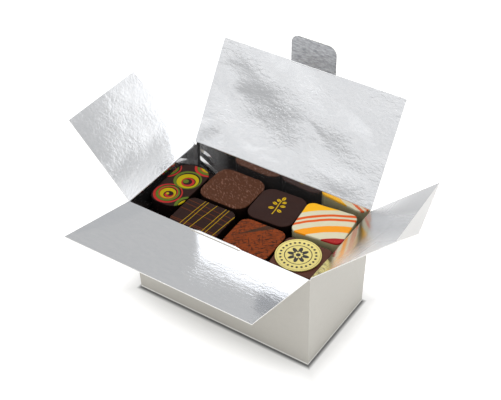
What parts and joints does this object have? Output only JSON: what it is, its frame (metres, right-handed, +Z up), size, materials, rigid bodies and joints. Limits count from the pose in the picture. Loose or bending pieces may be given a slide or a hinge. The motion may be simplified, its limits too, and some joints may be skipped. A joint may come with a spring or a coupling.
{
  "type": "open box of chocolate pralines",
  "caption": "Open card carton with four folding flaps and a tuck tab, filled with assorted chocolate pralines.",
  "frame": {"origin": "centre of the base's underside", "axes": "+X along the carton's long side, +Y from the front flap to the lid's side, +Z up"},
  "size_m": [0.2225, 0.1585, 0.1462],
  "materials": {
    "pearl_card": "satin",
    "silver_card": "polished",
    "dark_chocolate": "satin",
    "milk_chocolate": "satin",
    "rust_coating": "satin",
    "ivory_coating": "satin",
    "gold": "satin"
  },
  "bodies": {
    "carton": {"carton_body": "pearl_card", "lower_layers": "dark_chocolate", "praline_rings": "dark_chocolate", "praline_milk": "milk_chocolate", "praline_plaid": "dark_chocolate", "praline_printed": "dark_chocolate", "praline_rust": "rust_coating", "praline_striped": "ivory_coating", "praline_sealed": "milk_chocolate", "gold_seal": "gold"},
    "left_flap": {"left_flap": "silver_card"},
    "right_flap": {"right_flap": "silver_card"},
    "front_flap": {"front_flap": "silver_card"},
    "lid": {"lid": "silver_card"},
    "lid_tab": {"lid_tab": "silver_card"}
  },
  "joints": [
    {"name": "left_crease", "type": "hinge", "parent": "carton", "child": "left_flap", "pos_m": [-0.06225, 0, 0.0693], "axis": [0, -1, 0], "range_deg": [-136.6, 68]},
    {"name": "right_crease", "type": "hinge", "parent": "carton", "child": "right_flap", "pos_m": [0.06225, 0, 0.0708], "axis": [0, 1, 0], "range_deg": [-135.3, 69]},
    {"name": "front_crease", "type": "hinge", "parent": "carton", "child": "front_flap", "pos_m": [0, -0.03375, 0.07005], "axis": [1, 0, 0], "range_deg": [-166.5, 38]},
    {"name": "lid_crease", "type": "hinge", "parent": "carton", "child": "lid", "pos_m": [0, 0.03375, 0.07155], "axis": [-1, 0, 0], "range_deg": [-113.1, 82]},
    {"name": "tab_crease", "type": "hinge", "parent": "lid", "child": "lid_tab", "pos_m": [0.0009, 0.06893, 0.12763], "axis": [-1, 0, 0], "range_deg": [-65, 31]}
  ]
}
